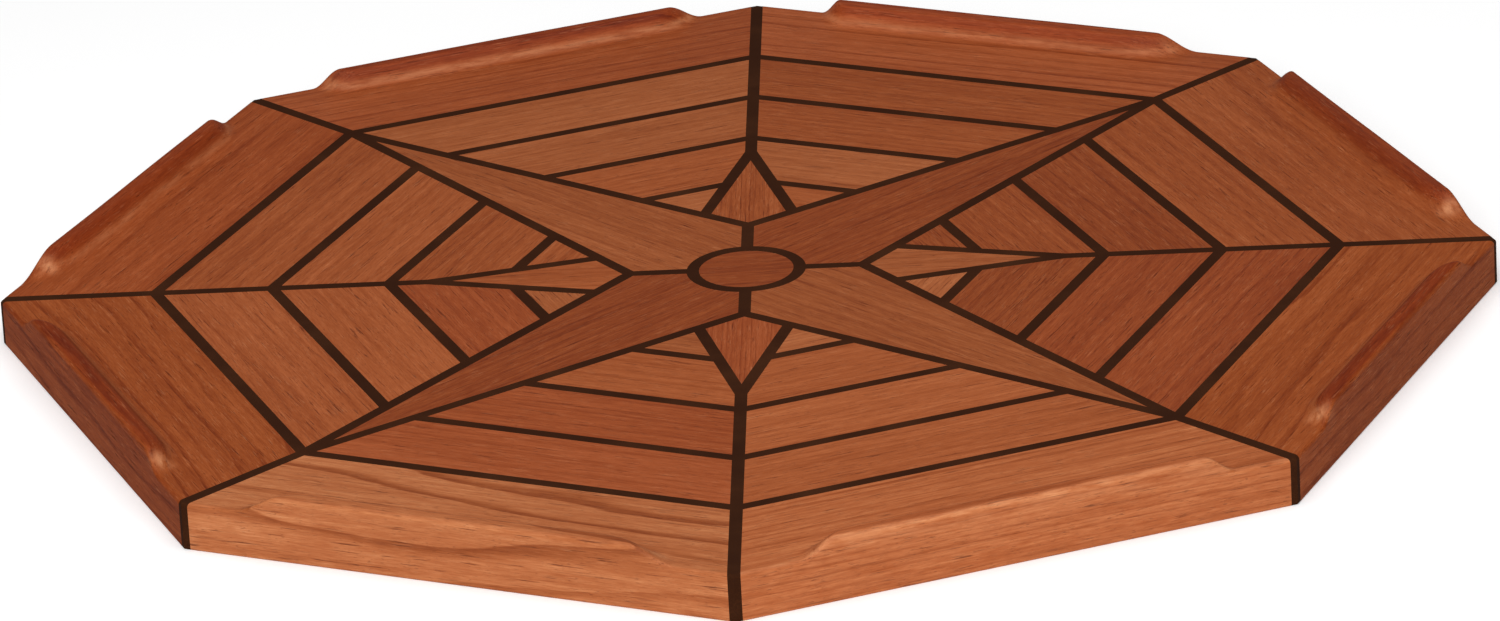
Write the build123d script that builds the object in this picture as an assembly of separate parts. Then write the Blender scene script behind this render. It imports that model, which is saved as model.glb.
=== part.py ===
"""Octagonal teak table top with an inlaid compass rose, black caulked seams and fiddle rails.

Frame: origin at the centre of the underside, +Z up, +X towards the east corner and +Y towards the
north corner of the rose. Units are millimetres.

Build-up, from below: a plywood backing panel sits in a rabbet round the inside of eight mitred
rails. The field planks, the rose and the centre disc are bonded to the panel, with caulk between
them. Loose splines cross the mitres, and screws through the panel hold the rails.
"""

import os
from math import atan2, cos, degrees, radians, sin, tan

from build123d import *

# Outline
ACROSS_FLATS = 677.0
BOARD_THICKNESS = 23.4
ARRIS_RADIUS = 2.2  # top outer arris, all the way round
FOOT_CHAMFER = 0.5  # bottom outer arris

# Plan of the pattern
RAIL_WIDTH = 70.5
PLANK_PITCH = 53.0  # plank and one seam, measured square to the rails
SEAM_WIDTH = 6.1
STAR_WAIST = 57.0  # centre to the inner corners of the four major points
MINOR_TIP = 156.0  # centre to where the seams of a minor point meet
MINOR_HALF_ANGLE = 14.8  # degrees between a minor point's axis and its sides
DISC_RADIUS = 23.2

# Fiddle, the raised lip on each rail
FIDDLE_HEIGHT = 8.6
FIDDLE_END_GAP = 34.5  # from the rail's end to the foot of the fiddle, along the outer face
FIDDLE_FOOT_WIDTH = 17.5
FIDDLE_RUN = 9.0  # how far the sides lean in between foot and crest
FIDDLE_CORNER = 16.5  # plan radius of the foot's inner corners
FIDDLE_BURIED = 1.0  # how deep the fiddle's blank reaches into the rail
COVE_RADIUS = 9.0  # hollow where the fiddle meets the rail
CREST_RADIUS = 4.0

# Backing panel and what holds the rails
PANEL_THICKNESS = 9.0
PANEL_LAP = 22.0  # how far the panel runs under each rail
SPLINE_THICKNESS = 5.0
SPLINE_WIDTH = 30.0  # along the mitre
SPLINE_DEPTH = 12.0  # into each rail
SPLINE_CORNER = 5.0
SPLINE_FROM_CORNER = 32.0  # board corner to the middle of the spline
SCREWS_PER_RAIL = 3
SCREW_PITCH = 80.0
SCREW_LENGTH = 17.5
SCREW_RADIUS = 2.0
SCREW_HEAD_RADIUS = 3.8
SCREW_HEAD_DEPTH = 2.2
SCREW_SINK = 0.3  # how far the head lies below the panel's face
SCREW_POINT = 3.0
SCREW_CLEARANCE = 0.2  # round the shank, in the panel
RECESS_LENGTH = 4.4  # cross recess in the screw's head
RECESS_WIDTH = 0.9
RECESS_DEPTH = 1.3

SIDES = 8
HALF_STEP = 180 / SIDES  # degrees from a corner to the middle of a side
TOP = BOARD_THICKNESS
HALF_SEAM = SEAM_WIDTH / 2
APOTHEM = ACROSS_FLATS / 2
BORDER = APOTHEM - RAIL_WIDTH  # apothem of the seam between the rails and the planks
CORNER_RADIUS = APOTHEM / cos(radians(HALF_STEP))
PANEL_APOTHEM = BORDER + HALF_SEAM + PANEL_LAP

# Each sector lies between a cardinal corner of the octagon and a diagonal one. The name is the
# wind at its middle, the angle is its cardinal corner's, and the side is the turn to the diagonal.
SECTORS = {
    "ene": (0, 1),
    "nne": (90, -1),
    "nnw": (90, 1),
    "wnw": (180, -1),
    "wsw": (180, 1),
    "ssw": (270, -1),
    "sse": (270, 1),
    "ese": (0, -1),
}
CARDINALS = {"e": 0, "n": 90, "w": 180, "s": 270}
RAILS = {
    "ene": 22.5,
    "nne": 67.5,
    "nnw": 112.5,
    "wnw": 157.5,
    "wsw": 202.5,
    "ssw": 247.5,
    "sse": 292.5,
    "ese": 337.5,
}


def polar(radius, degrees):
    """A plan point at a radius and bearing."""
    return (radius * cos(radians(degrees)), radius * sin(radians(degrees)))


def corner_of(apothem):
    """Distance from the centre to a corner of the octagon with this apothem."""
    return apothem / cos(radians(HALF_STEP))


# A side of a piece is a half-plane (nx, ny, d) that keeps the points with nx*x + ny*y <= d.


def within(apothem, bearing):
    """Keeps what is nearer the centre than the line square to this bearing."""
    return (*polar(1, bearing), apothem)


def beyond(apothem, bearing):
    """Keeps what is further from the centre than the line square to this bearing."""
    nx, ny = polar(1, bearing)
    return (-nx, -ny, -apothem)


def left_of(start, end):
    """Keeps what is on the left when going from start to end."""
    dx, dy = end[0] - start[0], end[1] - start[1]
    length = (dx * dx + dy * dy) ** 0.5
    nx, ny = dy / length, -dx / length
    return (nx, ny, nx * start[0] + ny * start[1])


def flipped(side):
    """The same line, keeping what is on its other side."""
    return tuple(-value for value in side)


def inset(side, distance=HALF_SEAM):
    """The side moved into the piece, which leaves room for half a seam."""
    nx, ny, d = side
    return (nx, ny, d - distance)


def cut_polygon(points, side):
    """The part of a polygon that a side keeps."""
    nx, ny, d = side
    kept = []
    for (ax, ay), (bx, by) in zip(points, points[1:] + points[:1]):
        a, b = nx * ax + ny * ay - d, nx * bx + ny * by - d
        if a <= 0:
            kept.append((ax, ay))
        if (a < 0) != (b < 0) and a != b:
            share = a / (a - b)
            kept.append((ax + share * (bx - ax), ay + share * (by - ay)))
    return kept


def outline(*sides):
    """The convex polygon that all the sides keep."""
    reach = ACROSS_FLATS
    points = [(-reach, -reach), (reach, -reach), (reach, reach), (-reach, reach)]
    for side in sides:
        points = cut_polygon(points, side)
    return points


# Lines of the reference sector, whose cardinal corner lies along +X and whose diagonal one is at 45.
DIAGONAL = 2 * HALF_STEP
MAJOR_TIP = polar(corner_of(BORDER), DIAGONAL)
MINOR_POINT = (MINOR_TIP, 0)
MINOR_BACK = (
    MINOR_TIP - cos(radians(MINOR_HALF_ANGLE)),
    sin(radians(MINOR_HALF_ANGLE)),
)
ABOVE_AXIS = left_of((0, 0), (1, 0))
OUTSIDE_STAR = left_of(MAJOR_TIP, (STAR_WAIST, 0))
OUTSIDE_MINOR = left_of(MINOR_BACK, MINOR_POINT)


def ring_of_planks(ring):
    """The two sides that bound a ring of planks. Ring 0 lies next to the rails."""
    outer = BORDER - ring * PLANK_PITCH
    return [within(outer, HALF_STEP), beyond(outer - PLANK_PITCH, HALF_STEP)]


def in_sector(points, cardinal, side):
    """Reference-sector points turned, and mirrored if need be, into another sector."""
    turn = radians(cardinal)
    return [
        (x * cos(turn) - side * y * sin(turn), x * sin(turn) + side * y * cos(turn))
        for x, y in points
    ]


def prism(points, bottom, top):
    """A closed prism over a plan polygon."""
    area = 0.0
    for (ax, ay), (bx, by) in zip(points, points[1:] + points[:1]):
        area += ax * by - bx * ay
    ordered = points if area > 0 else points[::-1]
    face = make_face(Polyline(*ordered, close=True))
    return extrude(Pos(0, 0, bottom) * face, top - bottom, dir=(0, 0, 1))


def octagon(apothem, bottom, top):
    """An octagonal slab with its corners on the axes and the diagonals."""
    corners = [polar(corner_of(apothem), 2 * HALF_STEP * k) for k in range(SIDES)]
    return prism(corners, bottom, top)


def field_piece(points, cardinal=0, side=1):
    """A piece of the field: it lies on the panel and ends flush with the top."""
    return prism(in_sector(points, cardinal, side), PANEL_THICKNESS, TOP)


def field_planks():
    """The four rings of planks, by name. The last ring's pieces are small triangles."""
    axis, star, minor = inset(ABOVE_AXIS), inset(OUTSIDE_STAR), inset(OUTSIDE_MINOR)
    plans = {}
    for ring, name in enumerate(("outer_plank", "middle_plank", "inner_plank")):
        rings = [inset(line) for line in ring_of_planks(ring)]
        plans[name] = outline(*rings, axis, star, minor)
    last = ring_of_planks(3)[0]
    plans["filler"] = outline(inset(last), axis, star, minor)
    return {
        f"{name}_{wind}": field_piece(points, *place)
        for name, points in plans.items()
        for wind, place in SECTORS.items()
    }


def compass_points():
    """The four major points, the four minor points and the centre disc, by name."""
    pieces = {}
    bite_radius = DISC_RADIUS + SEAM_WIDTH
    bite = Pos(0, 0, TOP / 2) * Cylinder(bite_radius, 2 * TOP)
    inside_star = inset(flipped(OUTSIDE_STAR))
    # The major point's second long side mirrors the first about the diagonal.
    nx, ny, d = inside_star
    major = outline(
        inset(ABOVE_AXIS),
        inset(flipped(left_of((0, 0), (0, 1)))),
        inside_star,
        (ny, nx, d),
    )
    inside_minor = inset(flipped(OUTSIDE_MINOR))
    outside = inset(OUTSIDE_STAR)
    minor = outline(
        inside_minor,
        (inside_minor[0], -inside_minor[1], inside_minor[2]),
        outside,
        (outside[0], -outside[1], outside[2]),
    )
    for name, turn in {"ne": 0, "nw": 90, "sw": 180, "se": 270}.items():
        pieces[f"major_point_{name}"] = field_piece(major, turn) - bite
    for name, turn in CARDINALS.items():
        pieces[f"minor_point_{name}"] = field_piece(minor, turn)
    disc_height = TOP - PANEL_THICKNESS
    disc_middle = (TOP + PANEL_THICKNESS) / 2
    pieces["centre_disc"] = Pos(0, 0, disc_middle) * Cylinder(DISC_RADIUS, disc_height)
    return pieces


def in_band(edges, axis, low, high):
    """The edges whose middle lies between two positions along an axis."""
    return edges.filter_by_position(axis, low, high)


def fiddle_blank(rail_length):
    """A block with leaning sides and rounded corners, cut off at the rail's outer face."""
    lean = FIDDLE_RUN / FIDDLE_HEIGHT
    spread = FIDDLE_BURIED * lean
    foot_length = rail_length - 2 * (FIDDLE_END_GAP - spread)
    foot = RectangleRounded(foot_length, 2 * (FIDDLE_FOOT_WIDTH + spread), FIDDLE_CORNER)
    height = FIDDLE_HEIGHT + FIDDLE_BURIED
    block = extrude(Pos(0, 0, TOP - FIDDLE_BURIED) * foot, height, taper=degrees(atan2(lean, 1)))
    inner_half = Pos(0, RAIL_WIDTH / 2, TOP) * Box(rail_length, RAIL_WIDTH, 4 * height)
    return block & inner_half


def rail_blank():
    """A rail with its fiddle, in its own frame: outer face on y = 0, inner face at y = width."""
    side = 2 * APOTHEM * tan(radians(HALF_STEP))
    length = side - SEAM_WIDTH / cos(radians(HALF_STEP))
    width = RAIL_WIDTH - HALF_SEAM
    end = length / 2 - width * tan(radians(HALF_STEP))
    rail = prism([(-length / 2, 0), (length / 2, 0), (end, width), (-end, width)], 0, TOP)
    rail += fiddle_blank(length)
    near = 0.1  # mm, separates edges on a face from edges beside it
    foot = in_band(rail.edges(), Axis.Z, TOP, TOP)
    rail = fillet(in_band(foot, Axis.Y, near, FIDDLE_FOOT_WIDTH + near), COVE_RADIUS)
    crest = in_band(rail.edges(), Axis.Z, TOP + FIDDLE_HEIGHT, TOP + FIDDLE_HEIGHT)
    rail = fillet(in_band(crest, Axis.Y, near, RAIL_WIDTH), CREST_RADIUS)
    outer_face = in_band(rail.edges(), Axis.Y, 0, 0)
    rail = fillet(in_band(outer_face, Axis.Z, TOP - near, 2 * TOP), ARRIS_RADIUS)
    outer_face = in_band(rail.edges(), Axis.Y, 0, 0)
    return chamfer(in_band(outer_face, Axis.Z, 0, 0), FOOT_CHAMFER)


def beside_rail(bearing):
    """Where a rail's own frame sits when its outer face looks along this bearing."""
    return Pos(*polar(APOTHEM, bearing), 0) * Rot(0, 0, bearing + 90)


def spline(corner):
    """The loose tongue across the mitre at one corner of the board."""
    middle = CORNER_RADIUS - SPLINE_FROM_CORNER
    across = SEAM_WIDTH + 2 * SPLINE_DEPTH
    plan = RectangleRounded(SPLINE_WIDTH, across, SPLINE_CORNER)
    tongue = extrude(Pos(0, 0, (TOP - SPLINE_THICKNESS) / 2) * plan, SPLINE_THICKNESS)
    return Rot(0, 0, corner) * Pos(middle, 0, 0) * tongue


def screw():
    """A countersunk wood screw, point up, with its head's face on z = 0."""
    point = SCREW_LENGTH - SCREW_POINT
    half_section = make_face(
        Polyline(
            (0, 0, 0),
            (SCREW_HEAD_RADIUS, 0, 0),
            (SCREW_RADIUS, 0, SCREW_HEAD_DEPTH),
            (SCREW_RADIUS, 0, point),
            (0, 0, SCREW_LENGTH),
            close=True,
        )
    )
    bar = Box(RECESS_LENGTH, RECESS_WIDTH, 2 * RECESS_DEPTH)
    return revolve(half_section, Axis.Z) - (bar + Rot(0, 0, 90) * bar)


def screw_hole():
    """What the panel leaves free for a screw whose head's face is on z = 0."""
    head = Pos(0, 0, SCREW_HEAD_DEPTH / 2) * Cone(
        SCREW_HEAD_RADIUS, SCREW_RADIUS, SCREW_HEAD_DEPTH
    )
    entry = Pos(0, 0, -SCREW_SINK / 2) * Cylinder(SCREW_HEAD_RADIUS, SCREW_SINK)
    shank = Cylinder(SCREW_RADIUS + SCREW_CLEARANCE, 2 * SCREW_LENGTH)
    return head + entry + shank


def screw_locations():
    """Every screw's place, as locations of its head's face."""
    inward = APOTHEM - PANEL_APOTHEM + PANEL_LAP / 2
    first = -SCREW_PITCH * (SCREWS_PER_RAIL - 1) / 2
    return [
        beside_rail(bearing) * Pos(first + k * SCREW_PITCH, inward, SCREW_SINK)
        for bearing in RAILS.values()
        for k in range(SCREWS_PER_RAIL)
    ]


def rails(panel_recess, splines, screws):
    """The eight rails, by name, with a rabbet, spline pockets and pilot holes."""
    blank = rail_blank()
    pieces = {}
    for name, bearing in RAILS.items():
        placed = beside_rail(bearing) * blank
        pieces[f"rail_{name}"] = placed - [panel_recess, *splines, *screws]
    return pieces


def mitre_caulk(panel_recess, splines):
    """The strips of caulk between the rails, which show as a line down each corner."""
    board = octagon(APOTHEM, 0, TOP)
    board = fillet(board.faces().sort_by(Axis.Z)[-1].edges(), ARRIS_RADIUS)
    board = chamfer(board.faces().sort_by(Axis.Z)[0].edges(), FOOT_CHAMFER)
    strip = Pos(CORNER_RADIUS / 2, 0, TOP / 2) * Box(CORNER_RADIUS, SEAM_WIDTH, TOP)
    inner = octagon(BORDER + HALF_SEAM, 0, TOP)
    return [
        (Rot(0, 0, 2 * HALF_STEP * k) * strip & board) - [inner, panel_recess, *splines]
        for k in range(SIDES)
    ]


def build():
    """Every node of the table top, by name."""
    splines = [spline(2 * HALF_STEP * k) for k in range(SIDES)]
    places = screw_locations()
    screws = [place * screw() for place in places]
    pilots = [place * Pos(0, 0, SCREW_LENGTH / 2) for place in places]
    panel_blank = octagon(PANEL_APOTHEM, 0, PANEL_THICKNESS)
    field = {**field_planks(), **compass_points()}
    nodes = {**rails(panel_blank, splines, screws), **field}
    nodes["backing_panel"] = panel_blank - [place * screw_hole() for place in places]
    bed = octagon(BORDER + HALF_SEAM, PANEL_THICKNESS, TOP)
    nodes["field_caulk"] = bed - list(field.values())
    nodes["mitre_caulk"] = Compound(mitre_caulk(panel_blank, splines))
    nodes["mitre_splines"] = Compound(splines)
    nodes["panel_screws"] = Compound(screws)
    return nodes


os.makedirs("parts", exist_ok=True)
for node_name, shape in build().items():
    export_step(shape, f"parts/{node_name}.step")
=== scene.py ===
"""Studio picture of the octagonal teak table top.

The rails, with their hand-shaped fiddles, are meshes made here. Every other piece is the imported
part's own, with a procedural material. Units are metres; the frame is the part's.
"""

from collections import namedtuple
from math import cos, exp, pi, radians, sin, tan
from random import Random

import bmesh
import bpy
from mathutils import Matrix, Vector


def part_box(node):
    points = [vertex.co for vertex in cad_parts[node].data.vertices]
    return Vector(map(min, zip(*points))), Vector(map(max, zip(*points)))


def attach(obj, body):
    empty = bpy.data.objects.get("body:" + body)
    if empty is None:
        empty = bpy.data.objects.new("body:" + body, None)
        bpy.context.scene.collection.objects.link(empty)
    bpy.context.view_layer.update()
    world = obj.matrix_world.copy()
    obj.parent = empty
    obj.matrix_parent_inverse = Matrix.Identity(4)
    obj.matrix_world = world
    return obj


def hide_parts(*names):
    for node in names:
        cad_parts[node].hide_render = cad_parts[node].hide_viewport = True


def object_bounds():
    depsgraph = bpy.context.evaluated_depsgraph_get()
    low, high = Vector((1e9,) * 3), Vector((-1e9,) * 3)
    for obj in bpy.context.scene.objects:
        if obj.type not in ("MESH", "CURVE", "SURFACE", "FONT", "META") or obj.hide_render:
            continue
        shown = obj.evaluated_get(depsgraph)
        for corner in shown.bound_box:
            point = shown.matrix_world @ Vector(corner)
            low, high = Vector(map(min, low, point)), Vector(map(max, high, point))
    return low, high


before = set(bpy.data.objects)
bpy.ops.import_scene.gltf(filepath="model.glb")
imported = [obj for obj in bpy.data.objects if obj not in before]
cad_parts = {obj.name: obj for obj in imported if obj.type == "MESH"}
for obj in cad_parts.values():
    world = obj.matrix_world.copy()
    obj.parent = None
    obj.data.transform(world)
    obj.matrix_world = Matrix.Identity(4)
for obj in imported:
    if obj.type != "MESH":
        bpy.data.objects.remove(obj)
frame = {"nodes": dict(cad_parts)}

MM = 0.001
cad_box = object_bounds()

# Measures of the top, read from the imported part
HALF_STEP = radians(22.5)  # from a corner of the octagon to the middle of a side
CORNER_RADIUS = cad_box[1][0]
APOTHEM = CORNER_RADIUS * cos(HALF_STEP)
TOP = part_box("centre_disc")[1].z
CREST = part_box("rail_ene")[1].z
PANEL_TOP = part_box("backing_panel")[1].z
PANEL_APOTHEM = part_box("backing_panel")[1].x * cos(HALF_STEP)

# Shape of the rails
SEAM = 6.1 * MM
RAIL_WIDTH = 67.45 * MM
RAIL_LENGTH = 2 * APOTHEM * tan(HALF_STEP) - SEAM / cos(HALF_STEP)
FOOT_CHAMFER = 0.5 * MM
ARRIS_AT_END = 2.0 * MM  # radius of the outer top edge beside the corners
ARRIS_AT_CREST = 2.4 * MM
ARRIS_SANDED = 1.8 * MM  # how much rounder the crest's edge is where it is pale, sanded and with a painted highlight
FIDDLE_GAP = 30.0 * MM  # rail's end to the foot of the fiddle
FIDDLE_RAMP = 18.0 * MM  # length of a fiddle's end slope
FIDDLE_SLOPE = 11.5 * MM  # width of its inner slope
FIDDLE_ROUNDING = 1.7  # plan rounding of the inner corners, in slope widths
COVE_SHARE = 1.15  # above 1, the slope is hollow at its foot and tighter at its crest

# The crest's slow wobble: shares of its height, and radians per metre
WAVE_COUNT = 3
WAVE_SIZES = (0.002, 0.007)
WAVE_RATES = (20, 60)
WAVE_PHASES = (0, 6)

# Names of the rails' vertex attributes
# pale share: sanded wear, and painted highlight on edges, spots and low slopes
PALE_AND_HIGHLIGHT = "pale_and_highlight"
# painted shade on the crest's inner side and on the outer side
PAINTED_SHADE = "stain"

# How finely a rail is divided: its section in rows, and its length in steps
SIDE_ROWS = 5
ARC_STEPS = 7
SLOPE_ROWS = 24
FLAT_ROWS = 6
FOOT_ROW = 0.75 * MM  # height of the side's first row over the foot
UNDER_ARRIS = 0.15 * MM  # from the side's last row to the arris
FLAT_FROM = 26.0 * MM  # every fiddle ends before this, and the rail is flat from here inward
FIRST_ROW = 0.4 * MM  # from the arris to the first row on top
LAST_ROW = 0.8 * MM  # from the last row on top to the inner face
FINE_STEP = 1.1 * MM
COARSE_STEP = 4.5 * MM
SHORTEST_STEP = 0.5 * MM
FINE_BEFORE = 4.0 * MM  # the fine steps start this far before a ramp's foot
FINE_AFTER = 8.0 * MM  # and end this far past its top
SHARP_ANGLE = radians(28)

# The rails by wind. Foot is the fiddle's width in mm. Each end, clockwise one first, has how far
# its foot lies from the usual gap in mm, its ramp's length as a share of the usual one, and how
# pale its spot is, sanded and with a painted highlight. The rest, from 0 to 1: how pale the crest's
# outer edge is, sanded and with a painted highlight, how strong the painted highlight low on the
# slope is, and how dark the painted shade is on the crest and on the outer side. A side below 0
# is paler instead.
Rail = namedtuple("Rail", "bearing foot start end worn streak stained side")
RAILS = {
    "ene": Rail(22.5, 18.5, (-12, 1.7, 1.0), (-2, 0.85, 0.1), 0.0, 0.1, 1.0, 0.3),
    "nne": Rail(67.5, 20.5, (-1.5, 1.3, 0.3), (4, 0.65, 0.1), 0.0, 0.5, 0.65, 0.3),
    "nnw": Rail(112.5, 17.0, (-3, 1.0, 0.2), (-1.7, 0.8, 0.5), 0.0, 0.8, 0.6, 0.3),
    "wnw": Rail(157.5, 18.5, (-2, 1.15, 0.0), (-15, 1.9, 1.0), 0.0, 0.4, 0.7, 0.3),
    "wsw": Rail(202.5, 18.5, (0, 1.1, 0.3), (0, 1.1, 1.0), 0.0, 0.2, 0.9, 0.4),
    "ssw": Rail(247.5, 19.0, (-7, 1.3, 0.0), (-6, 1.4, 0.5), 0.1, 0.0, 0.1, -0.05),
    "sse": Rail(292.5, 19.5, (-1, 1.0, 0.0), (-4, 0.85, 0.0), 0.6, 0.0, 0.1, -0.15),
    "ese": Rail(337.5, 18.5, (0, 1.1, 1.0), (0, 1.1, 0.2), 0.0, 0.1, 1.0, 0.2),
}

# Pale spots near the top of each ramp: sanded through the oil, and painted highlight
SPOT_UP_RAMP = 0.62  # share of the ramp
SPOT_INWARD = 6.0 * MM
SPOT_REACH = 4.6 * MM

# The pale outer edge, sanded and with a painted highlight: its middle and reach as shares of the
# arris. Beside the fiddle it is as pale as on a fiddle of this share of the full height.
EDGE_MIDDLE = 0.35
EDGE_REACH = 0.5
EDGE_BESIDE_FIDDLE = 0.6

# The painted highlight low on the inner slope, in shares of the fiddle's height, and its strength
SLOPE_HIGHLIGHT_MIDDLE = 0.25
SLOPE_HIGHLIGHT_REACH = 0.15
SLOPE_HIGHLIGHT_MOST = 0.7

# The painted shade starts at this share of the fiddle's height, and is full this much higher
SHADE_FROM = 0.3
SHADE_FADE = 0.4

# Colours, as 0-255 values of the finished look. The gloss adds a little white light, and the
# studio lights a level surface somewhat less than fully, so the colour underneath is deeper.
GLOSS_VEIL = 0.010
LIGHT_LEVEL = 0.93
LEAST_LIGHT = 0.001  # no colour underneath is darker than this
CAULK_VEIL = 0.0035  # the caulk is duller than the teak
CAULK_GLOSS = 0.06
CAULK_SHADES = {0.0: (40, 20, 11), 0.5: (53, 29, 17), 1.0: (76, 44, 26)}
RED_VENEER = {0.0: (96, 58, 34), 0.5: (140, 92, 58), 1.0: (176, 126, 84)}
PALE_VENEER = {0.0: (140, 100, 62), 0.5: (176, 136, 92), 1.0: (204, 168, 124)}
STEEL_SHADES = {0.0: (150, 149, 146), 0.5: (182, 181, 177), 1.0: (205, 204, 200)}
TEAK_SHADES = {
    0.00: (92, 41, 23),
    0.22: (124, 58, 32),
    0.45: (146, 75, 41),
    0.68: (167, 92, 54),
    0.86: (186, 112, 70),
    1.00: (206, 140, 96),
}
PORE_BROWN = (84, 38, 22)
# pale sanding dust, and the painted highlight on pale edges, spots and slopes
DUST_AND_HIGHLIGHT = (212, 150, 108)
SHADE_DEPTH = 0.31  # full painted shade raises the colour to the power of 1 plus this
GLOSS = 0.14  # specular level of the oiled teak
DULL_RAILS = {"rail_wsw": 0.08, "rail_ese": 0.08, "rail_wnw": 0.09}  # where less oil is left

# Figure of the growth rings: their spacing, how far they sway along the piece, how strong they
# are, what share of a ring is dark late wood, and how many degrees the pith lies above or below
# the level of the piece: at a small angle the rings cross the top as straight, close lines
Figure = namedtuple("Figure", "spacing sway strength late steep")
FIGURES = {
    "plain": Figure(5.5 * MM, 9 * MM, 0.10, 0.5, 25),
    "quiet": Figure(7 * MM, 14 * MM, 0.12, 0.5, 60),
    "lined": Figure(4.2 * MM, 7 * MM, 0.26, 0.3, 82),
    "banded": Figure(5.5 * MM, 10 * MM, 0.26, 0.4, 60),
    "arched": Figure(14 * MM, 62 * MM, 0.50, 0.32, 45),
    "waved": Figure(8 * MM, 30 * MM, 0.24, 0.3, 40),
    "striped": Figure(2.3 * MM, 2 * MM, 0.2, 0.45, 8),
}
FIGURE_OF = {
    "rail_sse": "lined",
    "rail_ssw": "arched",
    "rail_wsw": "waved",
    "rail_ese": "waved",
    "rail_nnw": "waved",
    "rail_ene": "quiet",
    "rail_nne": "banded",
    "rail_wnw": "quiet",
    "minor_point_n": "striped",
    "minor_point_s": "striped",
}

PITH_TURN = 8  # degrees by which a piece's pith may lie off its figure's angle
PITH_AWAY = (90 * MM, 160 * MM)
RING_END = 0.96  # where the dark late wood is darkest, as a share of the ring
RING_CHANGE = 0.55  # how soon the rings' strength changes, per ring
RING_STRENGTHS = (0.3, 0.7, 0.3, 1.0)  # range of that noise, and the strengths it becomes
RING_LIFT = 0.3  # a strong figure's ground is lighter by this share of its strength
DISC_GRAIN = 4  # bearing of the centre disc's grain, in degrees
POINT_BEARINGS = {"e": 0, "ne": 45, "n": 90, "nw": 135, "w": 180, "sw": 225, "s": 270, "se": 315}

# Layers of noise in the teak: counts per metre along and across the grain, detail, roughness, and
# how much the layer moves the tone
Layer = namedtuple("Layer", "along across detail rough depth", defaults=(0.0,))
MOST_OFFSET = 3  # each piece reads the noise at a place of its own, up to this many metres off
TONE_LAYERS = {
    "broad": Layer(4, 16, 2.0, 0.5, 0.26),
    "bands": Layer(3.5, 95, 3.0, 0.6, 0.28),
    "streaks": Layer(16, 420, 3.0, 0.62, 0.42),
    "fibres": Layer(110, 1700, 2.0, 0.6, 0.42),
    "mottle": Layer(90, 240, 3.0, 0.6, 0.16),
}
RING_LEAN = Layer(3.2, 9, 2.0, 0.45, 1.0)  # moves the rings by this share of the figure's sway
RING_WANDER = Layer(7, 130, 2.0, 0.5, 1.5)  # and this by a share of their spacing
MOST_WANDER = 5 * MM

# Short marks along the grain: their length and width, how rare and how soft they are, and how
# strong. Rare is the level of noise from which a mark shows.
Marks = namedtuple("Marks", "length width rare soft strength")
COARSE_PORES = Marks(22 * MM, 0.9 * MM, 0.64, 0.06, 0.75)
FINE_PORES = Marks(3.4 * MM, 0.3 * MM, 0.62, 0.08, 0.6)
PALE_FLECKS = Marks(10 * MM, 0.4 * MM, 0.6, 0.12, 0.2)
FLECKS_APART = (7, 3, 5)  # the flecks are read this far off, so that they don't follow the pores
CROWDING = (0.4, 0.65, 0.3, 1.0)  # range of the mottle, and the share of marks it leaves

# Pale places and painted shade: the worn and highlit places are ragged, lighter and dusty, and the
# painted shade is cloudy
RAGGED = Layer(70, 300, 3.0, 0.6)
RAGGED_RANGE = (0.25, 0.65, 0.1, 1.0)
PALE_LIFT = 0.25
PALE_DUST = 0.55
SHADE_CLOUDS = (0.3, 0.6, 0.7, 1.0)

# Roughness of the teak, and how strongly its layers stand out against the pores' relief of 1
TEAK_ROUGHNESS = 0.5
STREAK_ROUGHNESS = 0.16
PORE_ROUGHNESS = 0.2
FIBRE_RELIEF = 0.5
STREAK_RELIEF = 0.4

# Roughness of the rest: the range of a noise, and the roughness that it becomes
CAULK_ROUGHNESS = (0.2, 0.8, 0.6, 0.85)
VENEER_ROUGHNESS = (0.3, 0.7, 0.42, 0.6)
STEEL_ROUGHNESS = (0.3, 0.7, 0.24, 0.42)

# Depth and strength of the bumps
TEAK_BUMPS = (0.12 * MM, 0.45)
CAULK_BUMPS = (0.05 * MM, 0.4)
VENEER_BUMPS = (0.1 * MM, 0.35)
STEEL_BUMPS = (0.02 * MM, 0.3)

# Layers of noise in the caulk, which has no grain, and in the plywood's veneer
CAULK_CLOUDS = Layer(25, 25, 3.0, 0.6, 0.8)
CAULK_GRIT = Layer(1500, 1500, 2.0, 0.6, 0.7)
VENEER_FIBRES = Layer(25, 900, 3.0, 0.65, 0.6)
VENEER_CLOUD = Layer(6, 18, 3.0, 0.5, 0.4)
VENEER_DRIFT = Layer(0.9, 6, 2.0, 0.4, 60.0)  # bends the figure's lines, in radians
VENEER_LINES = 110.0  # the figure's lines across the grain, in radians per metre
VENEER_FIGURE = 0.13
VENEER_GLOSS = 0.35

# How light each piece of teak is, from 0 to 1, and which pieces are like that
LIGHTNESS = {"deep": 0.29, "dark": 0.35, "mid": 0.43, "light": 0.53, "pale": 0.60}
LIGHTNESS_SPREAD = 0.02
TONES = {
    "deep": "major_point_ne major_point_sw filler_ene middle_plank_ene centre_disc",
    "dark": "rail_ese rail_nnw outer_plank_ese inner_plank_ese middle_plank_ese rail_wsw "
    "inner_plank_ene",
    "mid": "outer_plank_nne outer_plank_ene major_point_se inner_plank_wnw rail_ene minor_point_s "
    "middle_plank_nne rail_nne outer_plank_wnw filler_wnw minor_point_n major_point_nw "
    "inner_plank_wsw filler_nne rail_wnw middle_plank_ssw",
    "light": "inner_plank_nnw outer_plank_wsw outer_plank_nnw outer_plank_ssw "
    "filler_ssw middle_plank_wsw minor_point_e filler_wsw inner_plank_sse middle_plank_nnw "
    "outer_plank_sse inner_plank_ssw inner_plank_nne middle_plank_wnw minor_point_w",
    "pale": "filler_nnw filler_ese middle_plank_sse rail_sse rail_ssw filler_sse",
}

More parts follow.
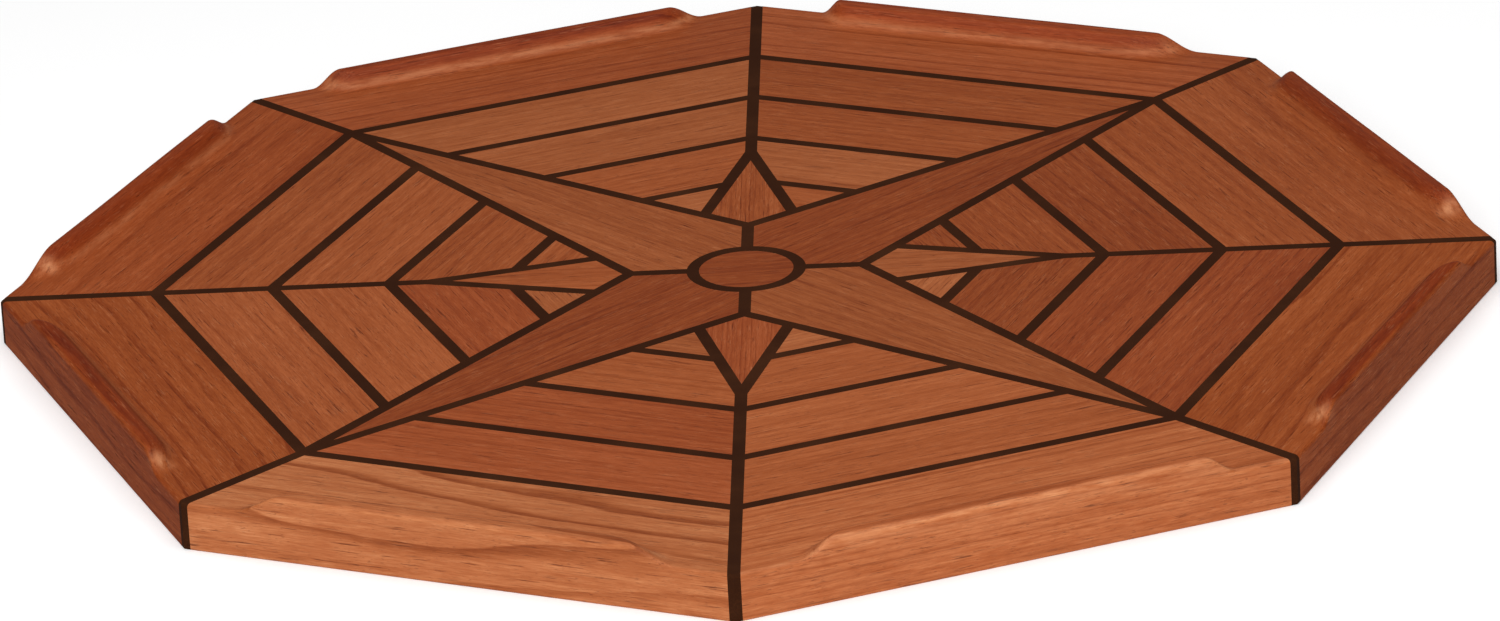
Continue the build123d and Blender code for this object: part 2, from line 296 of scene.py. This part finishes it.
# Pieces that are yellower or redder than their tone, and how much red, green and blue they keep
TINTS = {"honey": (1.0, 1.045, 1.08), "red": (1.0, 0.965, 0.98)}
TINTED = {
    "honey": "filler_ese filler_nnw filler_sse filler_ssw filler_wsw inner_plank_nne outer_plank_nnw "
    "major_point_nw major_point_se middle_plank_nnw minor_point_e rail_ssw",
    "red": "outer_plank_ese middle_plank_ese middle_plank_ssw outer_plank_ssw inner_plank_wsw "
    "minor_point_s rail_wnw rail_nnw rail_nne",
}

# The studio
FLOOR_REACH = 6.0
FLOOR_DROP = 0.05 * MM
FLOOR_WHITE = (250, 250, 250)
FLOOR_ROUGHNESS = 0.9
FLOOR_GLOSS = 0.1
FLOOR_GLOW = 0.16
ROOM_LIGHT = 0.19
CAMERA_AZIMUTH = radians(2.070)  # east of due south
CAMERA_ELEVATION = radians(22.468)
CAMERA_ROLL = -0.0547  # radians
CAMERA_DISTANCE = 4.5059
CAMERA_TARGET = Vector((0.00266, -0.05341, TOP))
SENSOR_MM = 36
LENS_MM = 223.48
CLIP_END = 50


# ---------------------------------------------------------------- rails


def smooth(share):
    """0 below 0, 1 above 1, and an S-curve between them."""
    share = min(max(share, 0.0), 1.0)
    return share * share * (3 - 2 * share)


def ramps_at(x, start, end):
    """For both ends: how far x is past the ramp's foot, the ramp's length and its pale spot."""
    found = []
    for distance, (shift, stretch, pale) in ((RAIL_LENGTH / 2 + x, start), (RAIL_LENGTH / 2 - x, end)):
        found.append((distance - FIDDLE_GAP - shift * MM, FIDDLE_RAMP * stretch, pale))
    return found


def fiddle_rise(x, y, foot, start, end):
    """Height of the fiddle over the rail's top: x runs along the rail, y in from its outer face."""
    up_ramp = min(into / ramp for into, ramp, _ in ramps_at(x, start, end))
    from_end = max(FIDDLE_ROUNDING - up_ramp, 0.0)
    from_inside = max(FIDDLE_ROUNDING - (foot - y) / FIDDLE_SLOPE, 0.0)
    share = FIDDLE_ROUNDING - (from_end**2 + from_inside**2) ** 0.5
    return (CREST - TOP) * smooth(max(share, 0.0) ** COVE_SHARE)


def stations(start, end):
    """Places along the rail's outer face, close together where a fiddle's end slopes."""
    places = []
    x = -RAIL_LENGTH / 2
    while x < RAIL_LENGTH / 2 - SHORTEST_STEP:
        places.append(x)
        near_ramp = False
        for into, ramp, _ in ramps_at(x, start, end):
            near_ramp = near_ramp or -FINE_BEFORE < into < ramp + FINE_AFTER
        x += FINE_STEP if near_ramp else COARSE_STEP
    places.append(RAIL_LENGTH / 2)
    return places


def rail_section(rise, crest_wave, crest_arris):
    """Closed outline of a rail, as (inward, height), with rise(inward) over the flat top."""
    at_edge = rise(0.0) / (CREST - TOP)
    arris = ARRIS_AT_END + (crest_arris - ARRIS_AT_END) * at_edge**3
    spread = 1 - at_edge * crest_wave
    line = [(FOOT_CHAMFER, 0.0), (0.0, FOOT_CHAMFER), (0.0, FOOT_ROW)]
    edge = TOP + rise(arris) * spread
    side = edge - arris - UNDER_ARRIS - FOOT_ROW
    for k in range(1, SIDE_ROWS + 1):
        line.append((0.0, FOOT_ROW + side * k / SIDE_ROWS))
    for k in range(ARC_STEPS + 1):
        turn = k / ARC_STEPS * pi / 2
        y = arris * (1 - cos(turn))
        line.append((y, edge - arris + arris * sin(turn)))
    first = arris + FIRST_ROW
    for k in range(SLOPE_ROWS + 1):
        y = first + (FLAT_FROM - first) * k / SLOPE_ROWS
        line.append((y, TOP + rise(y) * spread))
    for k in range(1, FLAT_ROWS + 1):
        line.append((FLAT_FROM + (RAIL_WIDTH - LAST_ROW - FLAT_FROM) * k / FLAT_ROWS, TOP))
    line.append((RAIL_WIDTH, TOP))
    line.append((RAIL_WIDTH, PANEL_TOP))
    lap = APOTHEM - PANEL_APOTHEM
    line += [(lap, PANEL_TOP), (lap, 0.0)]
    return line


def crest_waves(random):
    """A slow wobble of the crest, as hand shaping leaves it: the share by which it is lower."""
    waves = []
    for _ in range(WAVE_COUNT):
        size = random.uniform(*WAVE_SIZES)
        rate = random.uniform(*WAVE_RATES)
        phase = random.uniform(*WAVE_PHASES)
        waves.append((size, rate, phase))
    return lambda x: sum(size * (1 + sin(rate * x + phase)) for size, rate, phase in waves)


def pale_and_highlight_at(x, y, height, rail, arris):
    """How pale the teak is made, from 0 to 1: sanded ramp spots and outer edge with painted highlight,
    painted highlight low on the slope, and a paler outer side.
    """
    spots = 0.0
    for into, ramp, pale in ramps_at(x, rail.start, rail.end):
        off = ((into - SPOT_UP_RAMP * ramp) ** 2 + (y - SPOT_INWARD) ** 2) / SPOT_REACH**2
        spots = max(spots, pale * exp(-off))
    on_top = smooth((height - TOP + arris) / arris)
    up_fiddle = (height - TOP) / (CREST - TOP)
    edge = exp(-(((y - EDGE_MIDDLE * arris) / (EDGE_REACH * arris)) ** 2)) * on_top
    edge *= rail.worn * smooth(up_fiddle + EDGE_BESIDE_FIDDLE)
    streak = exp(-(((up_fiddle - SLOPE_HIGHLIGHT_MIDDLE) / SLOPE_HIGHLIGHT_REACH) ** 2))
    streak *= rail.streak * SLOPE_HIGHLIGHT_MOST * smooth((y - arris) / arris)
    side = max(-rail.side, 0.0) * (1 - on_top)
    return max(spots * on_top, edge, streak, side)


def painted_shade_at(y, height, rail, arris):
    """How much painted shade darkens the teak, from 0 to 1: on and inside the crest, and on the side."""
    up_fiddle = (height - TOP) / (CREST - TOP)
    crest = smooth((up_fiddle - SHADE_FROM) / SHADE_FADE) * smooth(y / arris)
    side = (1 + height / CREST) / 2 * (1 - smooth(y / arris))  # darker towards the top
    return max(crest * rail.stained, side * max(rail.side, 0.0))


def rail_rings(mesh, rail, wave):
    """The rail's sections as rings of vertices with their pale share, sanded and with painted highlight,
    and their painted shade, from end to end.
    """
    worn = mesh.verts.layers.float.new(PALE_AND_HIGHLIGHT)
    stained = mesh.verts.layers.float.new(PAINTED_SHADE)
    crest_arris = ARRIS_AT_CREST + ARRIS_SANDED * rail.worn
    rings = []
    for along in stations(rail.start, rail.end):
        share = along / (RAIL_LENGTH / 2)  # the mitres shorten the inner rows by the same share

        def rise(y):
            half = RAIL_LENGTH / 2 - y * tan(HALF_STEP)
            return fiddle_rise(share * half, y, rail.foot * MM, rail.start, rail.end)

        ring = []
        for y, z in rail_section(rise, wave(along), crest_arris):
            x = share * (RAIL_LENGTH / 2 - y * tan(HALF_STEP))
            vertex = mesh.verts.new((x, y, z))
            vertex[worn] = pale_and_highlight_at(x, y, z, rail, crest_arris)
            vertex[stained] = painted_shade_at(y, z, rail, crest_arris)
            ring.append(vertex)
        rings.append(ring)
    return rings


def skin(mesh, rings):
    """Faces from each ring to the next, and one over each end."""
    for ring, following in zip(rings, rings[1:]):
        for k in range(len(ring)):
            after = (k + 1) % len(ring)
            mesh.faces.new((ring[k], ring[after], following[after], following[k]))
    mesh.faces.new(rings[0])
    mesh.faces.new(reversed(rings[-1]))
    bmesh.ops.recalc_face_normals(mesh, faces=mesh.faces)


def make_rail(wind):
    """One rail, in its place on the board."""
    rail = RAILS[wind]
    mesh = bmesh.new()
    skin(mesh, rail_rings(mesh, rail, crest_waves(Random("rail " + wind))))
    turn = radians(rail.bearing)
    place = Matrix.Translation((APOTHEM * cos(turn), APOTHEM * sin(turn), 0))
    mesh.transform(place @ Matrix.Rotation(turn + pi / 2, 4, "Z"))
    data = bpy.data.meshes.new("teak_rail_" + wind)
    mesh.to_mesh(data)
    mesh.free()
    data.shade_smooth()
    data.set_sharp_from_angle(angle=SHARP_ANGLE)
    piece = bpy.data.objects.new("teak_rail_" + wind, data)
    bpy.context.scene.collection.objects.link(piece)
    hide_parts("rail_" + wind)
    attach(piece, "root")
    return piece


# ---------------------------------------------------------------- shader helpers


def linear(colour):
    """A 0-255 display colour as the shader's linear colour."""
    parts = [part / 255 for part in colour]
    parts = [p / 12.92 if p <= 0.04045 else ((p + 0.055) / 1.055) ** 2.4 for p in parts]
    return (*parts, 1.0)


def under_gloss(colour, veil=GLOSS_VEIL):
    """The linear colour that looks like this display colour once it is lit and glossy."""
    parts = [max(part - veil, LEAST_LIGHT) / LIGHT_LEVEL for part in linear(colour)[:3]]
    return (*parts, 1.0)


def new_material(name):
    """An empty material with a Principled shader; returns both."""
    material = bpy.data.materials.new(name)
    material.use_nodes = True
    return material, material.node_tree.nodes["Principled BSDF"]


def connect(tree, socket, value):
    """Sets a socket to a value, or links it to another node's output."""
    if isinstance(value, bpy.types.NodeSocket):
        tree.links.new(value, socket)
    else:
        socket.default_value = value


def calc(tree, operation, first, second=0.0, third=0.0):
    """A Math node; returns its output."""
    made = tree.nodes.new("ShaderNodeMath")
    made.operation = operation
    for socket, value in zip(made.inputs, (first, second, third)):
        connect(tree, socket, value)
    return made.outputs[0]


def stretched(tree, vector, scale=(1, 1, 1), turn=0.0, offset=(0, 0, 0)):
    """The vector scaled, turned about Z and moved, in that order."""
    made = tree.nodes.new("ShaderNodeMapping")
    made.inputs["Scale"].default_value = scale
    made.inputs["Rotation"].default_value = (0, 0, turn)
    made.inputs["Location"].default_value = offset
    connect(tree, made.inputs["Vector"], vector)
    return made.outputs[0]


def own_place(tree):
    """Each point's place in the part's frame, in metres."""
    return tree.nodes.new("ShaderNodeTexCoord").outputs["Object"]


def attribute(tree, name):
    """A vertex attribute's value, or 0 where the mesh has none of that name."""
    made = tree.nodes.new("ShaderNodeAttribute")
    made.attribute_name = name
    return made.outputs["Fac"]


def split(tree, vector):
    """A vector's X, Y and Z, by name."""
    made = tree.nodes.new("ShaderNodeSeparateXYZ")
    connect(tree, made.inputs[0], vector)
    return made.outputs


def noise(tree, vector, counts, detail, rough):
    """Noise of about 0.5 on average, with this many counts per metre along X, Y and Z."""
    made = tree.nodes.new("ShaderNodeTexNoise")
    made.inputs["Scale"].default_value = 1.0
    made.inputs["Detail"].default_value = detail
    made.inputs["Roughness"].default_value = rough
    connect(tree, made.inputs["Vector"], stretched(tree, vector, counts))
    return made.outputs["Fac"]


def between(tree, value, low, high, to_low=0.0, to_high=1.0):
    """The value's range low..high spread over to_low..to_high, and clamped there."""
    made = tree.nodes.new("ShaderNodeMapRange")
    made.interpolation_type = "SMOOTHSTEP"
    made.inputs["From Min"].default_value = low
    made.inputs["From Max"].default_value = high
    made.inputs["To Min"].default_value = to_low
    made.inputs["To Max"].default_value = to_high
    connect(tree, made.inputs["Value"], value)
    return made.outputs["Result"]


def times(tree, first, second):
    """The product of two values."""
    return calc(tree, "MULTIPLY", first, second)


def swing(tree, value, size):
    """The value's departure from a half, made size times as large."""
    return times(tree, calc(tree, "SUBTRACT", value, 0.5), size)


def total(tree, *terms):
    """The sum of all terms."""
    added = terms[0]
    for term in terms[1:]:
        added = calc(tree, "ADD", added, term)
    return added


def shades(tree, value, stops, veil=GLOSS_VEIL):
    """A colour ramp over named display colours."""
    made = tree.nodes.new("ShaderNodeValToRGB")
    ramp = made.color_ramp
    places = sorted(stops)
    ramp.elements[0].position = places[0]
    ramp.elements[1].position = places[-1]
    for place in places[1:-1]:
        ramp.elements.new(place)
    for element, place in zip(ramp.elements, places):
        element.color = under_gloss(stops[place], veil)
    connect(tree, made.inputs["Fac"], value)
    return made.outputs["Color"]


def blend_colour(tree, share, first, second):
    """First colour where the share is 0, second where it is 1."""
    made = tree.nodes.new("ShaderNodeMix")
    made.data_type = "RGBA"
    # Of this node's sockets, 0 is the share, and 6, 7 and 2 are the ones for colours.
    connect(tree, made.inputs[0], share)
    connect(tree, made.inputs[6], first)
    connect(tree, made.inputs[7], second)
    return made.outputs[2]


def deepened(tree, colour, power):
    """The colour raised to a power: above 1, it is deeper and keeps its hue."""
    made = tree.nodes.new("ShaderNodeGamma")
    connect(tree, made.inputs["Color"], colour)
    connect(tree, made.inputs["Gamma"], power)
    return made.outputs["Color"]


def bumps(tree, height, depth, strength):
    """A normal bent by a height pattern that is depth metres deep."""
    made = tree.nodes.new("ShaderNodeBump")
    made.inputs["Distance"].default_value = depth
    made.inputs["Strength"].default_value = strength
    connect(tree, made.inputs["Height"], height)
    return made.outputs["Normal"]


# ---------------------------------------------------------------- teak


def grain_noise(tree, place, layer):
    """A layer of noise for a board whose grain runs along X."""
    counts = (layer.along, layer.across, layer.across)
    return noise(tree, place, counts, layer.detail, layer.rough)


def ring_radius(tree, place, pith, figure):
    """Distance from the pith, square to the grain, made uneven as a real tree is."""
    parts = split(tree, place)
    across = calc(tree, "SUBTRACT", parts["Y"], pith[0])
    height = calc(tree, "SUBTRACT", parts["Z"], pith[1])
    squares = calc(tree, "MULTIPLY_ADD", across, across, times(tree, height, height))
    radius = calc(tree, "SQRT", squares)
    lean = swing(tree, grain_noise(tree, place, RING_LEAN), RING_LEAN.depth * figure.sway)
    most = min(MOST_WANDER, RING_WANDER.depth * figure.spacing)
    wander = swing(tree, grain_noise(tree, place, RING_WANDER), most)
    return total(tree, radius, lean, wander)


def growth_rings(tree, place, pith, figure):
    """Dark late wood of the rings round a far pith: 0 to 1, for a board whose grain runs along X."""
    count = calc(tree, "DIVIDE", ring_radius(tree, place, pith, figure), figure.spacing)
    inside_ring = calc(tree, "FRACT", count)
    rising = between(tree, inside_ring, RING_END - figure.late, RING_END)
    falling = between(tree, inside_ring, RING_END, 1.0, 1.0, 0.0)
    weight = tree.nodes.new("ShaderNodeTexNoise")
    weight.noise_dimensions = "1D"
    weight.inputs["Scale"].default_value = RING_CHANGE
    connect(tree, weight.inputs["W"], count)
    uneven = between(tree, weight.outputs["Fac"], *RING_STRENGTHS)
    return times(tree, times(tree, rising, falling), uneven)


def dashes(tree, place, marks):
    """Short marks along the grain, as open pores leave them: 0 outside a mark."""
    counts = (1 / marks.length, 1 / marks.width, 1 / marks.width)
    pattern = noise(tree, place, counts, detail=1.0, rough=0.4)
    shown = between(tree, pattern, marks.rare, marks.rare + marks.soft)
    return times(tree, shown, marks.strength)


def tinted_shades(node):
    """The shades of teak with the share of red, green and blue that this piece keeps."""
    tint = (1.0, 1.0, 1.0)
    for word, nodes in TINTED.items():
        if node in nodes.split():
            tint = TINTS[word]
    tinted = {}
    for place, shade in TEAK_SHADES.items():
        tinted[place] = [part * keep for part, keep in zip(shade, tint)]
    return tinted


def with_painted_shade(tree, colour, broad):
    """The colour, deeper where painted shade lies on the piece."""
    clouded = between(tree, broad, *SHADE_CLOUDS)
    stain = times(tree, attribute(tree, PAINTED_SHADE), SHADE_DEPTH)
    return deepened(tree, colour, calc(tree, "MULTIPLY_ADD", stain, clouded, 1.0))


def dust_and_highlight_share(tree, place, crowd, worn):
    """Where the teak is pale: sanding dust in a few pores, and over the worn places with their painted
    highlight.
    """
    apart = stretched(tree, place, offset=FLECKS_APART)
    flecks = times(tree, dashes(tree, apart, PALE_FLECKS), crowd)
    return calc(tree, "MAXIMUM", flecks, times(tree, worn, PALE_DUST))


def teak(node, bearing, tone, pith, figure):
    """Oiled teak whose grain runs along the bearing, in degrees."""
    name = "teak_of_" + node
    material, shader = new_material(name)
    tree = material.node_tree
    random = Random(name)
    offset = [random.uniform(-MOST_OFFSET, MOST_OFFSET) for _ in range(3)]
    along = stretched(tree, own_place(tree), turn=-radians(bearing))
    place = stretched(tree, along, offset=offset)
    slid = stretched(tree, along, offset=(offset[0], 0, 0))  # only lengthwise: the pith stays put

    rings = growth_rings(tree, slid, pith, figure)
    layers = {word: grain_noise(tree, place, layer) for word, layer in TONE_LAYERS.items()}
    ragged = between(tree, grain_noise(tree, place, RAGGED), *RAGGED_RANGE)
    # pale share from the rails: sanded wear, and painted highlight on edges, spots and low slopes
    worn = times(tree, attribute(tree, PALE_AND_HIGHLIGHT), ragged)
    value = total(
        tree,
        tone + RING_LIFT * figure.strength,
        *(swing(tree, layers[word], layer.depth) for word, layer in TONE_LAYERS.items()),
        times(tree, rings, -figure.strength),
        times(tree, worn, PALE_LIFT),
    )
    colour = shades(tree, value, tinted_shades(node))
    # painted shade on the crest's inner side and on the outer side
    colour = with_painted_shade(tree, colour, layers["broad"])

    crowd = between(tree, layers["mottle"], *CROWDING)
    pores = calc(tree, "MAXIMUM", dashes(tree, place, COARSE_PORES), dashes(tree, place, FINE_PORES))
    pores = times(tree, pores, crowd)
    colour = blend_colour(tree, pores, colour, under_gloss(PORE_BROWN))
    dust_and_highlit = dust_and_highlight_share(tree, place, crowd, worn)
    colour = blend_colour(tree, dust_and_highlit, colour, under_gloss(DUST_AND_HIGHLIGHT))
    connect(tree, shader.inputs["Base Color"], colour)

    streaky = swing(tree, layers["streaks"], STREAK_ROUGHNESS)
    matt = total(tree, TEAK_ROUGHNESS, streaky, times(tree, pores, PORE_ROUGHNESS))
    connect(tree, shader.inputs["Roughness"], matt)
    shader.inputs["Specular IOR Level"].default_value = DULL_RAILS.get(node, GLOSS)
    raised = swing(tree, layers["fibres"], FIBRE_RELIEF)
    relief = total(tree, times(tree, pores, -1.0), raised, swing(tree, layers["streaks"], STREAK_RELIEF))
    connect(tree, shader.inputs["Normal"], bumps(tree, relief, *TEAK_BUMPS))
    return material


def use(piece, material):
    """The piece gets this material and no other."""
    piece.data.materials.clear()
    piece.data.materials.append(material)


def grain_bearing(node):
    """Which way the grain of a piece runs, in degrees."""
    kind, _, wind = node.rpartition("_")
    if kind in ("major_point", "minor_point"):
        return POINT_BEARINGS[wind]
    if kind == "centre":
        return DISC_GRAIN
    return RAILS[wind].bearing + 90


def pith_of(node, bearing, steep):
    """Where the pith lies, square to the grain: (across, height) of a point far from the piece."""
    low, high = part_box(node)
    middle = (low + high) / 2
    turn = radians(bearing)
    across = middle.y * cos(turn) - middle.x * sin(turn)
    random = Random("pith " + node)
    tilt = radians(steep + random.uniform(-PITH_TURN, PITH_TURN))
    away = random.uniform(*PITH_AWAY)
    across += random.choice((-1, 1)) * away * cos(tilt)
    height = random.choice((-1, 1)) * away * sin(tilt)
    return across, height


def finish_teak(rails):
    """Teak on every rail, plank and point, each with its own tone, grain and figure."""
    for word, nodes in TONES.items():
        for node in nodes.split():
            bearing = grain_bearing(node)
            random = Random("tone " + node)
            tone = LIGHTNESS[word] + random.uniform(-LIGHTNESS_SPREAD, LIGHTNESS_SPREAD)
            piece = rails[node] if node in rails else frame["nodes"][node]
            figure = FIGURES[FIGURE_OF.get(node, "plain")]
            pith = pith_of(node, bearing, figure.steep)
            use(piece, teak(node, bearing, tone, pith, figure))


# ---------------------------------------------------------------- other materials


def caulk():
    """Dark deck caulk, sanded flush: matt, with fine sanding marks and faint cloudiness."""
    material, shader = new_material("deck_caulk")
    tree = material.node_tree
    own = own_place(tree)
    clouds = grain_noise(tree, own, CAULK_CLOUDS)
    grit = grain_noise(tree, own, CAULK_GRIT)
    value = total(tree, 0.5, swing(tree, clouds, CAULK_CLOUDS.depth), swing(tree, grit, CAULK_GRIT.depth))
    connect(tree, shader.inputs["Base Color"], shades(tree, value, CAULK_SHADES, CAULK_VEIL))
    connect(tree, shader.inputs["Roughness"], between(tree, grit, *CAULK_ROUGHNESS))
    shader.inputs["Specular IOR Level"].default_value = CAULK_GLOSS
    connect(tree, shader.inputs["Normal"], bumps(tree, grit, *CAULK_BUMPS))
    return material


def plywood(name, bearing, stops):
    """Rotary-cut veneer: long wavy figure and fine fibres along the grain."""
    material, shader = new_material(name)
    tree = material.node_tree
    along = stretched(tree, own_place(tree), turn=-radians(bearing))
    drift = grain_noise(tree, along, VENEER_DRIFT)
    fibres = grain_noise(tree, along, VENEER_FIBRES)
    cloud = grain_noise(tree, along, VENEER_CLOUD)
    steady = times(tree, split(tree, along)["Y"], VENEER_LINES)
    waves = calc(tree, "SINE", calc(tree, "MULTIPLY_ADD", drift, VENEER_DRIFT.depth, steady))
    value = total(
        tree,
        0.5,
        times(tree, waves, VENEER_FIGURE),
        swing(tree, fibres, VENEER_FIBRES.depth),
        swing(tree, cloud, VENEER_CLOUD.depth),
    )
    connect(tree, shader.inputs["Base Color"], shades(tree, value, stops))
    connect(tree, shader.inputs["Roughness"], between(tree, fibres, *VENEER_ROUGHNESS))
    shader.inputs["Specular IOR Level"].default_value = VENEER_GLOSS
    connect(tree, shader.inputs["Normal"], bumps(tree, fibres, *VENEER_BUMPS))
    return material


def steel():
    """Stainless screws: turned rings on the head, and a little dullness."""
    material, shader = new_material("turned_steel")
    tree = material.node_tree
    own = own_place(tree)
    turning = noise(tree, own, counts=(400, 400, 3000), detail=3.0, rough=0.6)
    dull = noise(tree, own, counts=(300, 300, 300), detail=2.0, rough=0.5)
    connect(tree, shader.inputs["Base Color"], shades(tree, dull, STEEL_SHADES))
    shader.inputs["Metallic"].default_value = 1.0
    connect(tree, shader.inputs["Roughness"], between(tree, turning, *STEEL_ROUGHNESS))
    connect(tree, shader.inputs["Normal"], bumps(tree, turning, *STEEL_BUMPS))
    return material


def finish_rest():
    """Caulk, panel, splines and screws."""
    nodes = frame["nodes"]
    dark = caulk()
    use(nodes["field_caulk"], dark)
    use(nodes["mitre_caulk"], dark)
    use(nodes["backing_panel"], plywood("veneer_of_panel", 90, RED_VENEER))
    use(nodes["mitre_splines"], plywood("veneer_of_splines", 0, PALE_VENEER))
    use(nodes["panel_screws"], steel())


# ---------------------------------------------------------------- studio


def floor_white():
    """The floor's plain white, which glows a little."""
    material, shader = new_material("floor_white")
    shader.inputs["Base Color"].default_value = linear(FLOOR_WHITE)
    shader.inputs["Roughness"].default_value = FLOOR_ROUGHNESS
    shader.inputs["Specular IOR Level"].default_value = FLOOR_GLOSS
    shader.inputs["Emission Color"].default_value = (1, 1, 1, 1)
    shader.inputs["Emission Strength"].default_value = FLOOR_GLOW
    return material


def studio_floor():
    """A large pale floor just under the part."""
    data = bpy.data.meshes.new("floor")
    corners = []
    for x, y in ((-1, -1), (1, -1), (1, 1), (-1, 1)):
        corners.append((x * FLOOR_REACH, y * FLOOR_REACH, -FLOOR_DROP))
    data.from_pydata(corners, [], [(0, 1, 2, 3)])
    floor = bpy.data.objects.new("floor", data)
    bpy.context.scene.collection.objects.link(floor)
    use(floor, floor_white())
    floor.visible_glossy = False  # the gloss of the edges mirrors the dim room, as over a dark gap


def soft_light(name, place, size, power):
    """A large area light that looks at the middle of the top."""
    data = bpy.data.lights.new(name, "AREA")
    data.shape = "RECTANGLE"
    data.size, data.size_y = size
    data.energy = power
    light = bpy.data.objects.new(name, data)
    light.location = place
    light.rotation_euler = (-Vector(place)).to_track_quat("-Z", "Y").to_euler()
    bpy.context.scene.collection.objects.link(light)


def studio_lights():
    """A low key from the camera's side, a soft box overhead and a dim white room."""
    soft_light("front_key", place=(-0.2, -3.2, 1.9), size=(2.6, 1.4), power=82)
    soft_light("overhead", place=(0.0, -0.3, 2.6), size=(3.0, 3.0), power=50)
    world = bpy.data.worlds.new("room")
    world.use_nodes = True
    background = world.node_tree.nodes["Background"]
    background.inputs["Color"].default_value = (1, 1, 1, 1)
    background.inputs["Strength"].default_value = ROOM_LIGHT
    bpy.context.scene.world = world
    bpy.context.scene.view_settings.view_transform = "Standard"


def studio_camera():
    """A long lens that looks down on the top from the south."""
    azimuth, elevation = CAMERA_AZIMUTH, CAMERA_ELEVATION
    back = Vector((sin(azimuth) * cos(elevation), -cos(azimuth) * cos(elevation), sin(elevation)))
    level = Vector((cos(azimuth), sin(azimuth), 0))
    upright = back.cross(level)
    right = level * cos(CAMERA_ROLL) + upright * sin(CAMERA_ROLL)
    up = upright * cos(CAMERA_ROLL) - level * sin(CAMERA_ROLL)
    data = bpy.data.cameras.new("camera")
    data.sensor_width = SENSOR_MM
    data.lens = LENS_MM
    data.clip_end = CLIP_END
    camera = bpy.data.objects.new("camera", data)
    turned = Matrix((right, up, back)).transposed().to_4x4()
    camera.matrix_world = Matrix.Translation(CAMERA_TARGET + back * CAMERA_DISTANCE) @ turned
    bpy.context.scene.collection.objects.link(camera)
    bpy.context.scene.camera = camera


# ---------------------------------------------------------------- the scene

studio_camera()
rails = {"rail_" + wind: make_rail(wind) for wind in RAILS}
finish_teak(rails)
finish_rest()
studio_floor()
studio_lights()
